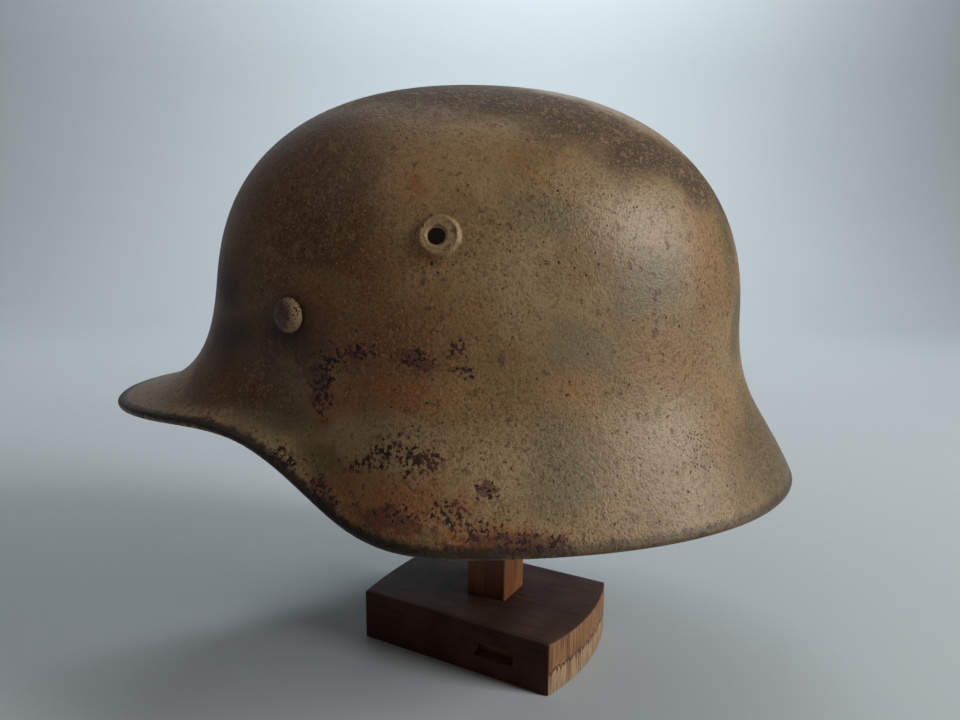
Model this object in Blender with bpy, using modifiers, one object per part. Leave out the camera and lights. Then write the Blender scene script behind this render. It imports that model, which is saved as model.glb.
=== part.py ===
"""A pressed steel combat helmet with a rolled rim, set on a plain wooden stand.

Metres, +Z up. The helmet faces -Y and its middle plane is x = 0. The origin lies on the
surface that the stand rests on, under the middle of the stand's post.
"""

import math
from collections import namedtuple

import bmesh
import bpy
import numpy as np
from mathutils import Matrix, Vector
from mathutils.bvhtree import BVHTree

# The shell in plan. The reaches are from the middle of its dome
DOME_LENGTH = 0.2126
DOME_WIDTH = 0.192
DOME_SQUARENESS = 2.14
SHELL_WIDTH = 0.232
VISOR_REACH = 0.1477
NECK_REACH = 0.1311
DOME_AHEAD_OF_POST = 0.0082

# The shell in height, from the lowest stretch of its rim
RIM_ABOVE_FLOOR = 0.0886
CROWN_RISE = 0.1506
WAIST_RISE_FRONT = 0.0749
WAIST_RISE_REAR = 0.0631
VISOR_LIFT = 0.0292

# How the dome rounds over, and how much narrower it is drawn in towards the crown
DOME_FULLNESS_FRONT = 2.54
DOME_FULLNESS_REAR = 2.29
DOME_DRAWN_IN_FRONT = 0.082
DOME_DRAWN_IN_REAR = 0.003

# How far the bend between wall and flare reaches, as shares of the flare's length
BEND_REACH_ABOVE = 0.48
BEND_REACH_BELOW = 0.45

# The sheet and its rolled rim
SHEET = 0.0012
ROLL_RADIUS = 0.0015

# A section of the flare at each azimuth, in degrees from the front: how far the rim reaches, as a
# share of the plan oval, how high it lifts, as a share of the visor's lift, and how steeply
# the flare meets it, in degrees below level
Section = namedtuple("Section", "azimuth reach lift steepness")
SECTIONS = (
    Section(azimuth=0, reach=1.000, lift=1.00, steepness=9),
    Section(azimuth=15, reach=0.988, lift=1.00, steepness=11),
    Section(azimuth=30, reach=0.939, lift=1.03, steepness=19),
    Section(azimuth=45, reach=0.881, lift=0.90, steepness=40),
    Section(azimuth=60, reach=0.890, lift=0.35, steepness=55),
    Section(azimuth=75, reach=0.984, lift=0.07, steepness=62),
    Section(azimuth=90, reach=1.000, lift=0.03, steepness=65),
    Section(azimuth=135, reach=1.000, lift=0.00, steepness=66),
    Section(azimuth=180, reach=1.000, lift=0.00, steepness=64),
)

# The stamped vents, one in each side. The right one was pressed a little further back, so no
# light shows from one hole through the other
VENT_AZIMUTHS = {"left": 81, "right": -84}
VENT_ABOVE_RIM = 0.0918
VENT_DIAMETER = 0.0138
VENT_CREST_DIAMETER = 0.0112
VENT_PROUD = 0.0014
VENT_HOLE_DIAMETER = 0.0055
VENT_HOLE_AHEAD_OF_RING = 0.0008

# The liner rivets, in one band: two at the front and one at the back
RIVET_AZIMUTHS = {"rivet_front_left": 52, "rivet_front_right": -52, "rivet_rear": 180}
RIVET_ABOVE_RIM = 0.0666
RIVET_HEAD_DIAMETER = 0.0115
RIVET_HEAD_HEIGHT = 0.0032
RIVET_EDGE = 0.0004
RIVET_SHANK_DIAMETER = 0.0040
RIVET_CLINCH_DIAMETER = 0.0080
RIVET_CLINCH_THICKNESS = 0.0008

# The stand
BASE_LENGTH = 0.0912
BASE_WIDTH = 0.0634
BASE_THICKNESS = 0.0223
BASE_BULGE_NEAR = 0.0050
BASE_BULGE_FAR = 0.0022
BASE_TURN = 59
BASE_SHIFT = Vector((-0.0014, -0.0040))
BASE_EDGE = 0.0006
POST_SIDE = 0.0189
POST_EDGE = 0.0005
POST_TOP_CHAMFER = 0.0030
SOCKET_DEPTH = 0.0120
MORTISE_LENGTH = 0.0185
MORTISE_HEIGHT = 0.0066
MORTISE_DEPTH = 0.0060
MORTISE_OFFSET = 0.0204

# Clearance wherever one piece seats on or passes through another
GAP = 0.0003

# How finely the faces are cut up
SHELL_AZIMUTHS = 64
DOME_STEPS = 11
FLARE_STEPS = 10
ROLL_STEPS = 6
TURNED_STEPS = 20
RIVET_DOME_STEPS = 5
ARC_STEPS = 10

# Base colour, metallic, roughness
PAINTED_STEEL = ((0.20, 0.15, 0.09), 0.0, 0.62)
RIVET_STEEL = ((0.24, 0.18, 0.11), 0.0, 0.60)
STAINED_WOOD = ((0.055, 0.035, 0.028), 0.0, 0.55)
OAK = ((0.28, 0.13, 0.055), 0.0, 0.65)


def clear_scene():
    for obj in list(bpy.data.objects):
        bpy.data.objects.remove(obj)


def new_collection(name):
    collection = bpy.data.collections.new(name)
    bpy.context.scene.collection.children.link(collection)
    return collection


def new_material(name, look):
    color, metallic, roughness = look
    material = bpy.data.materials.new(name)
    material.use_nodes = True
    shader = material.node_tree.nodes["Principled BSDF"]
    shader.inputs["Base Color"].default_value = (*color, 1)
    shader.inputs["Metallic"].default_value = metallic
    shader.inputs["Roughness"].default_value = roughness
    return material


def add_object(name, mesh, collection, material=None):
    obj = bpy.data.objects.new(name, mesh)
    collection.objects.link(obj)
    if material:
        mesh.materials.append(material)
    return obj


def mesh_of(name, shape):
    """The bmesh as mesh data, with the bmesh freed."""
    mesh = bpy.data.meshes.new(name)
    shape.to_mesh(mesh)
    shape.free()
    return mesh


def smooth_column(name):
    """A smooth curve through one column of SECTIONS, with no slope at the front and the back."""
    at = np.radians([row.azimuth for row in SECTIONS])
    value = np.array([getattr(row, name) for row in SECTIONS], float)
    step = np.diff(at)
    rise = np.diff(value) / step
    system = np.eye(len(at))
    right = np.zeros(len(at))
    for i in range(1, len(at) - 1):
        before, after = step[i - 1], step[i]
        system[i, i - 1 : i + 2] = after, 2 * (before + after), before
        right[i] = 3 * (after * rise[i - 1] + before * rise[i])
    slope = np.linalg.solve(system, right)

    def curve(azimuth):
        turned = abs(math.remainder(azimuth, math.tau))
        i = min(int(np.searchsorted(at, turned, side="right")) - 1, len(step) - 1)
        t = (turned - at[i]) / step[i]
        return float(
            value[i] * (1 + 2 * t) * (1 - t) ** 2
            + value[i + 1] * t * t * (3 - 2 * t)
            + step[i] * t * (1 - t) * (slope[i] * (1 - t) - slope[i + 1] * t)
        )

    return curve


REACH = smooth_column("reach")
LIFT = smooth_column("lift")
STEEPNESS = smooth_column("steepness")


def between(rear, front, azimuth):
    """From one value at the back to another at the front, by the cosine of the azimuth."""
    return rear + (front - rear) * (1 + math.cos(azimuth)) / 2


def oval(azimuth, half_length, half_width, squareness):
    """The radius of an oval in this direction."""
    along = abs(math.cos(azimuth)) / half_length
    across = abs(math.sin(azimuth)) / half_width
    return (along**squareness + across**squareness) ** (-1 / squareness)


def dome_profile(azimuth, share):
    """Radius and rise of the dome's outer face, from the crown at share 0 to the waist at 1."""
    radius = oval(azimuth, DOME_LENGTH / 2, DOME_WIDTH / 2, DOME_SQUARENESS)
    waist = between(WAIST_RISE_REAR, WAIST_RISE_FRONT, azimuth)
    fullness = between(DOME_FULLNESS_REAR, DOME_FULLNESS_FRONT, azimuth)
    drawn_in = between(DOME_DRAWN_IN_REAR, DOME_DRAWN_IN_FRONT, azimuth)
    turn = share * math.pi / 2
    up = max(math.cos(turn), 0) ** (2 / fullness)
    out = max(math.sin(turn), 0) ** (2 / fullness)
    return radius * (1 - drawn_in * up) * out, waist + (CROWN_RISE - waist) * up


def flare_profile(azimuth, share):
    """Radius and rise of the flare's outer face, from the waist at share 0 to the rim at 1."""
    radius, waist = dome_profile(azimuth, 1)
    reach = VISOR_REACH if math.cos(azimuth) > 0 else NECK_REACH
    rim = Vector((REACH(azimuth) * oval(azimuth, reach, SHELL_WIDTH / 2, 2), LIFT(azimuth) * VISOR_LIFT))
    start = Vector((radius, waist))
    length = (rim - start).length
    drawn_in = between(DOME_DRAWN_IN_REAR, DOME_DRAWN_IN_FRONT, azimuth)
    leaning = math.atan2(drawn_in * radius, CROWN_RISE - waist)
    steep = math.radians(STEEPNESS(azimuth))
    leave = start + length * BEND_REACH_ABOVE * Vector((math.sin(leaning), -math.cos(leaning)))
    arrive = rim + length * BEND_REACH_BELOW * Vector((-math.cos(steep), math.sin(steep)))
    t = share
    place = (
        start * (1 - t) ** 3
        + 3 * leave * t * (1 - t) ** 2
        + 3 * arrive * t * t * (1 - t)
        + rim * t**3
    )
    return place.x, place.y


def outer_face(azimuth, station):
    """A point of the outer face. The station is 0 at the crown, 1 at the waist and 2 at the rim."""
    if station <= 1:
        radius, rise = dome_profile(azimuth, station)
    else:
        radius, rise = flare_profile(azimuth, station - 1)
    return Vector(
        (
            radius * math.sin(azimuth),
            -radius * math.cos(azimuth) - DOME_AHEAD_OF_POST,
            RIM_ABOVE_FLOOR + rise,
        )
    )


def face_directions(azimuth, station):
    """The unit vectors down along the outer face and out of it."""
    step = 0.001
    low, high = max(station - step, step), min(station + step, 2)
    down = outer_face(azimuth, high) - outer_face(azimuth, low)
    around = outer_face(azimuth + step, station) - outer_face(azimuth - step, station)
    if station == 0:
        return down.normalized(), Vector((0, 0, 1))
    return down.normalized(), down.cross(around).normalized()


def inner_face(azimuth, station):
    _, out = face_directions(azimuth, station)
    return outer_face(azimuth, station) - SHEET * out


def roll_points(azimuth):
    """The curl of the rim's edge, round from the outer face to where it meets the inner one."""
    down, out = face_directions(azimuth, 2)
    middle = outer_face(azimuth, 2) - ROLL_RADIUS * out
    closing = math.tau - math.acos((ROLL_RADIUS - SHEET) / ROLL_RADIUS)
    turns = [closing * i / ROLL_STEPS for i in range(1, ROLL_STEPS + 1)]
    return [
        middle + ROLL_RADIUS * (out * math.cos(turn) + down * math.sin(turn))
        for turn in turns
    ]


def wall_section(azimuth):
    """The sheet's outline in one direction: down the outer face, round the roll, up the inner."""
    stations = [i / DOME_STEPS for i in range(DOME_STEPS)]
    stations += [1 + i / FLARE_STEPS for i in range(FLARE_STEPS + 1)]
    outer = [outer_face(azimuth, station) for station in stations]
    inner = [inner_face(azimuth, station) for station in reversed(stations[:-1])]
    return outer + roll_points(azimuth) + inner


def loft(name, sections):
    """A closed skin through sections that all start at one pole and end at another."""
    shape = bmesh.new()
    rows = [[shape.verts.new(point) for point in section] for section in sections]
    for row, following in zip(rows, rows[1:] + rows[:1]):
        for i in range(len(row) - 1):
            shape.faces.new((row[i], row[i + 1], following[i + 1], following[i]))
    bmesh.ops.remove_doubles(shape, verts=shape.verts, dist=1e-6)
    bmesh.ops.recalc_face_normals(shape, faces=shape.faces)
    return mesh_of(name, shape)


def seat_on_shell(azimuth, above_rim):
    """The place and outward direction of a fitting on the outer face at this height."""
    low, high = 0.0, 2.0
    while high - low > 1e-6:
        middle = (low + high) / 2
        if outer_face(azimuth, middle).z > RIM_ABOVE_FLOOR + above_rim:
            low = middle
        else:
            high = middle
    _, out = face_directions(azimuth, low)
    return Matrix.Translation(outer_face(azimuth, low)) @ out.to_track_quat("Z", "Y").to_matrix().to_4x4()


def turned(name, profile, collection, place, material=None):
    """A round solid from (radius, height) points that run down its outer side."""
    mesh = bpy.data.meshes.new(name)
    mesh.from_pydata([(r, 0, z) for r, z in profile], [(i, i + 1) for i in range(len(profile) - 1)], [])
    obj = add_object(name, mesh, collection, material)
    obj.matrix_world = place
    screw = obj.modifiers.new("turn", "SCREW")
    screw.steps = screw.render_steps = TURNED_STEPS
    screw.use_merge_vertices = True
    screw.merge_threshold = 1e-5
    screw.use_smooth_shade = True
    return obj


def hide_tool(obj):
    obj.hide_render = True
    obj.display_type = "WIRE"


def boolean(obj, operation, tools):
    modifier = obj.modifiers.new(operation.lower(), "BOOLEAN")
    modifier.operation = operation
    modifier.operand_type = "COLLECTION"
    modifier.collection = tools
    modifier.solver = "EXACT"


def vent_boss_profile():
    """The raised ring round a vent, as a button that the hole is drilled through."""
    base, crest, hole = (d / 2 for d in (VENT_DIAMETER, VENT_CREST_DIAMETER, VENT_HOLE_DIAMETER))
    lip = (crest + hole) / 2
    return [
        (0, VENT_PROUD * 0.5),
        (hole, VENT_PROUD * 0.5),
        (lip, VENT_PROUD * 0.95),
        ((lip + crest) / 2, VENT_PROUD),
        (crest, VENT_PROUD * 0.8),
        (base, 0),
        (base, -SHEET / 2),
        (0, -SHEET / 2),
    ]


def hole_profile(radius):
    """A drill that clears the sheet on both sides."""
    reach = VENT_PROUD + ROLL_RADIUS + SHEET
    return [(0, reach), (radius, reach), (radius, -reach), (0, -reach)]


def rivet_profile():
    """A domed head outside, a shank through the sheet and a clinched end inside."""
    head, shank, clinch = (
        d / 2 for d in (RIVET_HEAD_DIAMETER, RIVET_SHANK_DIAMETER, RIVET_CLINCH_DIAMETER)
    )
    turns = [math.pi / 2 * i / RIVET_DOME_STEPS for i in range(RIVET_DOME_STEPS + 1)]
    dome = [
        (head * math.sin(turn), GAP + RIVET_EDGE + (RIVET_HEAD_HEIGHT - RIVET_EDGE) * math.cos(turn))
        for turn in turns
    ]
    bearing = -SHEET - 2 * GAP
    return dome + [
        (head, GAP),
        (shank, GAP),
        (shank, bearing),
        (clinch, bearing),
        (clinch, bearing - RIVET_CLINCH_THICKNESS),
        (0, bearing - RIVET_CLINCH_THICKNESS),
    ]


def build_shell(parts, tools, material):
    azimuths = [math.tau * i / SHELL_AZIMUTHS for i in range(SHELL_AZIMUTHS)]
    mesh = loft("helmet_shell", [wall_section(azimuth) for azimuth in azimuths])
    mesh.shade_smooth()
    shell = add_object("helmet_shell", mesh, parts, material)
    bosses = bpy.data.collections.new("vent_bosses")
    drills = bpy.data.collections.new("shell_drills")
    tools.children.link(bosses)
    tools.children.link(drills)
    for side, azimuth in VENT_AZIMUTHS.items():
        place = seat_on_shell(math.radians(azimuth), VENT_ABOVE_RIM)
        hide_tool(turned(f"vent_boss_{side}", vent_boss_profile(), bosses, place))
        ahead = Matrix.Translation((0, -VENT_HOLE_AHEAD_OF_RING, 0)) @ place
        hide_tool(turned(f"vent_drill_{side}", hole_profile(VENT_HOLE_DIAMETER / 2), drills, ahead))
    for name, azimuth in RIVET_AZIMUTHS.items():
        place = seat_on_shell(math.radians(azimuth), RIVET_ABOVE_RIM)
        drill = hole_profile(RIVET_SHANK_DIAMETER / 2 + GAP)
        hide_tool(turned(f"{name}_drill", drill, drills, place))
    boolean(shell, "UNION", bosses)
    boolean(shell, "DIFFERENCE", drills)
    return shell


def build_rivets(parts, material):
    for name, azimuth in RIVET_AZIMUTHS.items():
        place = seat_on_shell(math.radians(azimuth), RIVET_ABOVE_RIM)
        turned(name, rivet_profile(), parts, place, material)


def base_place():
    """The base's own axes: +X along its length, towards the end with the fuller bulge."""
    turn = Matrix.Rotation(math.radians(BASE_TURN), 4, "Z")
    return Matrix.Translation((*BASE_SHIFT, 0)) @ turn


def end_arc(end, bulge):
    """Points along one bulged end of the base, from its near side to its far side or back."""
    half = BASE_WIDTH / 2
    radius = (half**2 + bulge**2) / (2 * bulge)
    spread = math.asin(half / radius)
    turns = [spread * (2 * i / ARC_STEPS - 1) for i in range(ARC_STEPS + 1)]
    middle = BASE_LENGTH / 2 + bulge - radius
    return [
        (end * (middle + radius * math.cos(turn)), end * radius * math.sin(turn))
        for turn in turns
    ]


def slab(name, outline, thickness, collection, place):
    """A flat outline as a solid of this thickness, standing on its own z = 0."""
    curve = bpy.data.curves.new(name, "CURVE")
    curve.dimensions = "2D"
    curve.fill_mode = "BOTH"
    curve.extrude = thickness / 2
    spline = curve.splines.new("POLY")
    spline.points.add(len(outline) - 1)
    for point, (x, y) in zip(spline.points, outline):
        point.co = (x, y, 0, 1)
    spline.use_cyclic_u = True
    drawn = add_object(name, curve, collection)
    drawn.matrix_world = place @ Matrix.Translation((0, 0, thickness / 2))
    bpy.context.view_layer.update()
    graph = bpy.context.evaluated_depsgraph_get()
    mesh = bpy.data.meshes.new_from_object(drawn.evaluated_get(graph))
    matrix = drawn.matrix_world.copy()
    bpy.data.objects.remove(drawn)
    shape = bmesh.new()
    shape.from_mesh(mesh)
    bmesh.ops.remove_doubles(shape, verts=shape.verts, dist=1e-6)
    shape.to_mesh(mesh)
    shape.free()
    solid = add_object(name, mesh, collection)
    solid.matrix_world = matrix
    return solid


def block(name, size, middle, collection, place):
    shape = bmesh.new()
    bmesh.ops.create_cube(shape, size=1, matrix=Matrix.Translation(middle) @ Matrix.Diagonal((*size, 1)))
    obj = add_object(name, mesh_of(name, shape), collection)
    obj.matrix_world = place
    return obj


def rounded_edges(obj, width):
    bevel = obj.modifiers.new("worn edges", "BEVEL")
    bevel.width = width
    bevel.segments = 1
    bevel.limit_method = "ANGLE"
    bevel.angle_limit = math.radians(50)


def build_base(parts, tools, material):
    outline = end_arc(1, BASE_BULGE_NEAR) + end_arc(-1, BASE_BULGE_FAR)
    base = slab("stand_base", outline, BASE_THICKNESS, parts, base_place())
    base.data.materials.append(material)
    rounded_edges(base, BASE_EDGE)
    cuts = bpy.data.collections.new("base_cuts")
    tools.children.link(cuts)
    side = POST_SIDE + 2 * GAP
    depth = 2 * (SOCKET_DEPTH + GAP)
    turn = Matrix.Rotation(math.radians(BASE_TURN), 4, "Z")
    hide_tool(block("post_socket", (side, side, depth), (0, 0, BASE_THICKNESS), cuts, turn))
    mortise = (MORTISE_LENGTH, 2 * MORTISE_DEPTH, MORTISE_HEIGHT)
    middle = (MORTISE_OFFSET, -BASE_WIDTH / 2, BASE_THICKNESS / 2)
    hide_tool(block("side_mortise", mortise, middle, cuts, base_place()))
    boolean(base, "DIFFERENCE", cuts)


def crown_underside(shell, reach):
    """The lowest height of the shell's inner face over the corners of a square of this reach."""
    wall = bmesh.new()
    wall.from_mesh(shell.data)
    tree = BVHTree.FromBMesh(wall)
    wall.free()
    turn = Matrix.Rotation(math.radians(BASE_TURN), 3, "Z")
    corners = [turn @ Vector((x, y, RIM_ABOVE_FLOOR)) for x in (-reach, reach) for y in (-reach, reach)]
    return min(tree.ray_cast(corner, Vector((0, 0, 1)))[0].z for corner in corners)


def build_post(parts, shell, material):
    foot = BASE_THICKNESS - SOCKET_DEPTH
    top = crown_underside(shell, POST_SIDE / 2 - POST_TOP_CHAMFER) - GAP
    turn = Matrix.Rotation(math.radians(BASE_TURN), 4, "Z")
    size = (POST_SIDE, POST_SIDE, top - foot)
    post = block("stand_post", size, (0, 0, (top + foot) / 2), parts, turn)
    shape = bmesh.new()
    shape.from_mesh(post.data)
    top_edges = [edge for edge in shape.edges if all(vert.co.z > top - GAP for vert in edge.verts)]
    bmesh.ops.bevel(shape, geom=top_edges, offset=POST_TOP_CHAMFER, segments=1, profile=0.5, affect="EDGES")
    shape.to_mesh(post.data)
    shape.free()
    post.data.materials.append(material)
    rounded_edges(post, POST_EDGE)


def main():
    clear_scene()
    parts = new_collection("helmet_on_stand")
    tools = new_collection("cutters")
    shell = build_shell(parts, tools, new_material("painted_steel", PAINTED_STEEL))
    build_rivets(parts, new_material("rivet_steel", RIVET_STEEL))
    build_base(parts, tools, new_material("stained_wood", STAINED_WOOD))
    build_post(parts, shell, new_material("oak", OAK))


main()
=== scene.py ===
"""Dresses the steel combat helmet on its wooden stand: worn camouflage paint over a pressed
shell, three domed rivets, a stained block and an oak post, on a pale studio sweep.

Metres, +Z up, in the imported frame. The helmet faces -Y. Paint and wood are set out in
millimetres on each piece's own surface.
"""

import math
from collections import namedtuple

import bmesh
import bpy
import numpy as np
from mathutils import Matrix, Vector


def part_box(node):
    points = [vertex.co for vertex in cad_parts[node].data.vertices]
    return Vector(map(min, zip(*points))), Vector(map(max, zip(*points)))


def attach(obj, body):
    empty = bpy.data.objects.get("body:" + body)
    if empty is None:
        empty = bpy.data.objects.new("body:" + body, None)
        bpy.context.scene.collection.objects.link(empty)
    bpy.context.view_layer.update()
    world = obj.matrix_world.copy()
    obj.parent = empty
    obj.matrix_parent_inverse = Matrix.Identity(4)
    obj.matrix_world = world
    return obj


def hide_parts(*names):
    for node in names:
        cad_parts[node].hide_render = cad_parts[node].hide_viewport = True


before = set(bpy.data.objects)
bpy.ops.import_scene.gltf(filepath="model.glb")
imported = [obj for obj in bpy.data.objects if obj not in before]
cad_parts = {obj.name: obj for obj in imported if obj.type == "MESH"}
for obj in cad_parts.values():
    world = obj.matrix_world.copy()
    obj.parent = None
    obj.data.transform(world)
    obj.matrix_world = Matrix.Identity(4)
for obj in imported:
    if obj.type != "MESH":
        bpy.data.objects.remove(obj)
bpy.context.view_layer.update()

# The shell's form, in the same named values as its solid
DOME_LENGTH = 0.2126
DOME_WIDTH = 0.192
DOME_SQUARENESS = 2.14
SHELL_WIDTH = 0.232
VISOR_REACH = 0.1477
NECK_REACH = 0.1311
DOME_AHEAD_OF_POST = 0.0082
RIM_ABOVE_FLOOR = 0.0886
CROWN_RISE = 0.1506
WAIST_RISE_FRONT = 0.0749
WAIST_RISE_REAR = 0.0631
VISOR_LIFT = 0.0292
DOME_FULLNESS_FRONT = 2.54
DOME_FULLNESS_REAR = 2.29
DOME_DRAWN_IN_FRONT = 0.082
DOME_DRAWN_IN_REAR = 0.003
BEND_REACH_ABOVE = 0.48
BEND_REACH_BELOW = 0.45
SHEET = 0.0012
ROLL_RADIUS = 0.0015

# The flare's section at each azimuth in degrees from the front: the rim's reach and lift as
# shares, and how steeply the flare meets it in degrees below level
Section = namedtuple("Section", "azimuth reach lift steepness")
SECTIONS = (
    Section(azimuth=0, reach=1.000, lift=1.00, steepness=9),
    Section(azimuth=15, reach=0.988, lift=1.00, steepness=11),
    Section(azimuth=30, reach=0.939, lift=1.03, steepness=19),
    Section(azimuth=45, reach=0.881, lift=0.90, steepness=40),
    Section(azimuth=60, reach=0.890, lift=0.35, steepness=55),
    Section(azimuth=75, reach=0.984, lift=0.07, steepness=62),
    Section(azimuth=90, reach=1.000, lift=0.03, steepness=65),
    Section(azimuth=135, reach=1.000, lift=0.00, steepness=66),
    Section(azimuth=180, reach=1.000, lift=0.00, steepness=64),
)

# The stamped vents and the rivets
VENT_AZIMUTHS = (81, -84)
VENT_ABOVE_RIM = 0.0918
VENT_RADIUS = 0.0069
VENT_CREST_RADIUS = 0.0058
VENT_PROUD = 0.0014
VENT_HOLE_RADIUS = 0.00275
VENT_HOLE_AHEAD_OF_RING = 0.0008
VENT_LIP_WIDTH = 0.0009
VENT_DISH_DEPTH = 0.0002
VENT_DISH_EDGE_SHARE = 0.98
VENT_DISH_FLOOR_SHARE = 0.82
RIVETS = {"rivet_front_left": 52, "rivet_front_right": -52, "rivet_rear": 180}
RIVET_ABOVE_RIM = 0.0666
RIVET_HEAD_RADIUS = 0.00575
RIVET_HEAD_HEIGHT = 0.0032
RIVET_EDGE = 0.0004
RIVET_UNDERSIDE_SHARE = 0.985
RIVET_HIGHLIGHT_ASIDE = 0.0018
RIVET_SHANK_RADIUS = 0.0020
RIVET_CLINCH_RADIUS = 0.0040
RIVET_CLINCH_THICKNESS = 0.0008
GAP = 0.0003
DRILL_REACH = 0.006

# The stand
BASE_LENGTH = 0.0912
BASE_WIDTH = 0.0634
BASE_THICKNESS = 0.0223
BASE_BULGE_NEAR = 0.0050
BASE_BULGE_FAR = 0.0022
BASE_TURN = math.radians(59)
BASE_SHIFT = Vector((-0.0014, -0.0040, 0))
BASE_EDGE = 0.0008
POST_SIDE = 0.0189
POST_EDGE = 0.0006
POST_TOP_CHAMFER = 0.0030
SOCKET_DEPTH = 0.0120
MORTISE_LENGTH = 0.0185
MORTISE_HEIGHT = 0.0066
MORTISE_DEPTH = 0.0060
MORTISE_OFFSET = 0.0204

# How finely the shell's skin is cut up: columns round it, and rows down its outer face, round
# the roll and up its inner face
SHELL_COLUMNS = 300
DOME_ROWS = 72
FLARE_ROWS = 44
ROLL_ROWS = 12
INNER_FLARE_ROWS = 24
INNER_DOME_ROWS = 36
RIM_ROW = DOME_ROWS + FLARE_ROWS
CURL_ROW = RIM_ROW + ROLL_ROWS
WAIST_INSIDE_ROW = CURL_ROW + INNER_FLARE_ROWS
LAST_ROW = WAIST_INSIDE_ROW + INNER_DOME_ROWS
INSIDE_PAINT_ROW = RIM_ROW + 0.6 * ROLL_ROWS
CURL_MEETS_INSIDE = 1.95
VENT_CUTS = 4
VENT_REFINED = 0.0095
TURNED_STEPS = 64
RIVET_DOME_STEPS = 16
BASE_BULGE_CUTS = 23

# Points closer than this are one, corners sharper than this are rounded off, and what is left
# sharper than this is shaded as an edge
MERGE_WITHIN = 0.00001
CORNER_DEGREES = 50
SHARP_DEGREES = 35

MM = 0.001


def smooth_column(name):
    """A smooth curve through one column of SECTIONS, level at the front and the back."""
    at = np.radians([row.azimuth for row in SECTIONS])
    value = np.array([getattr(row, name) for row in SECTIONS], float)
    step = np.diff(at)
    rise = np.diff(value) / step
    system = np.eye(len(at))
    right = np.zeros(len(at))
    for i in range(1, len(at) - 1):
        before, after = step[i - 1], step[i]
        system[i, i - 1 : i + 2] = after, 2 * (before + after), before
        right[i] = 3 * (after * rise[i - 1] + before * rise[i])
    slope = np.linalg.solve(system, right)

    def curve(azimuth):
        turned = np.abs(np.remainder(azimuth + math.pi, math.tau) - math.pi)
        i = np.clip(np.searchsorted(at, turned, side="right") - 1, 0, len(step) - 1)
        t = (turned - at[i]) / step[i]
        return (
            value[i] * (1 + 2 * t) * (1 - t) ** 2
            + value[i + 1] * t * t * (3 - 2 * t)
            + step[i] * t * (1 - t) * (slope[i] * (1 - t) - slope[i + 1] * t)
        )

    return curve


REACH = smooth_column("reach")
LIFT = smooth_column("lift")
STEEPNESS = smooth_column("steepness")


def between(rear, front, azimuth):
    """From one value at the back to another at the front, by the cosine of the azimuth."""
    return rear + (front - rear) * (1 + np.cos(azimuth)) / 2


def oval(azimuth, half_length, half_width, squareness):
    """The radius of an oval at this azimuth: an ellipse at squareness 2, and squarer above it."""
    along = np.abs(np.cos(azimuth)) / half_length
    across = np.abs(np.sin(azimuth)) / half_width
    return (along**squareness + across**squareness) ** (-1 / squareness)


def dome_profile(azimuth, share):
    """Radius and rise of the dome's outer face, from the crown at share 0 to the waist at 1."""
    radius = oval(azimuth, DOME_LENGTH / 2, DOME_WIDTH / 2, DOME_SQUARENESS)
    waist = between(WAIST_RISE_REAR, WAIST_RISE_FRONT, azimuth)
    fullness = between(DOME_FULLNESS_REAR, DOME_FULLNESS_FRONT, azimuth)
    drawn_in = between(DOME_DRAWN_IN_REAR, DOME_DRAWN_IN_FRONT, azimuth)
    turn = np.clip(share, 0, 1) * math.pi / 2
    up = np.maximum(np.cos(turn), 0) ** (2 / fullness)
    out = np.maximum(np.sin(turn), 0) ** (2 / fullness)
    return radius * (1 - drawn_in * up) * out, waist + (CROWN_RISE - waist) * up


def flare_profile(azimuth, share):
    """Radius and rise of the flare's outer face, from the waist at share 0 to the rim at 1."""
    radius, waist = dome_profile(azimuth, np.ones_like(azimuth))
    reach = np.where(np.cos(azimuth) > 0, VISOR_REACH, NECK_REACH)
    rim = np.stack((REACH(azimuth) * oval(azimuth, reach, SHELL_WIDTH / 2, 2), LIFT(azimuth) * VISOR_LIFT))
    start = np.stack((radius, waist))
    length = np.hypot(*(rim - start))
    drawn_in = between(DOME_DRAWN_IN_REAR, DOME_DRAWN_IN_FRONT, azimuth)
    leaning = np.arctan2(drawn_in * radius, CROWN_RISE - waist)
    steep = np.radians(STEEPNESS(azimuth))
    leave = start + length * BEND_REACH_ABOVE * np.stack((np.sin(leaning), -np.cos(leaning)))
    arrive = rim + length * BEND_REACH_BELOW * np.stack((-np.cos(steep), np.sin(steep)))
    t = share
    return start * (1 - t) ** 3 + 3 * leave * t * (1 - t) ** 2 + 3 * arrive * t * t * (1 - t) + rim * t**3


def outer_face(azimuth, station):
    """Points of the outer face. The station is 0 at the crown, 1 at the waist and 2 at the rim."""
    dome = np.stack(dome_profile(azimuth, station))
    radius, rise = np.where(station <= 1, dome, flare_profile(azimuth, np.clip(station - 1, 0, 1)))
    return np.stack(
        (radius * np.sin(azimuth), -radius * np.cos(azimuth) - DOME_AHEAD_OF_POST, RIM_ABOVE_FLOOR + rise), -1
    )


def unit(vectors):
    never_zero = 1e-12
    return vectors / np.maximum(np.linalg.norm(vectors, axis=-1, keepdims=True), never_zero)


def face_directions(azimuth, station):
    """The unit vectors down along the outer face and out of it."""
    step = 0.001
    below = outer_face(azimuth, np.minimum(station + step, 2))
    above = outer_face(azimuth, np.maximum(station - step, step))
    down = below - above
    around = outer_face(azimuth + step, station) - outer_face(azimuth - step, station)
    out = unit(np.cross(down, around))
    out[station < step] = (0, 0, 1)
    return unit(down), out


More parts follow.
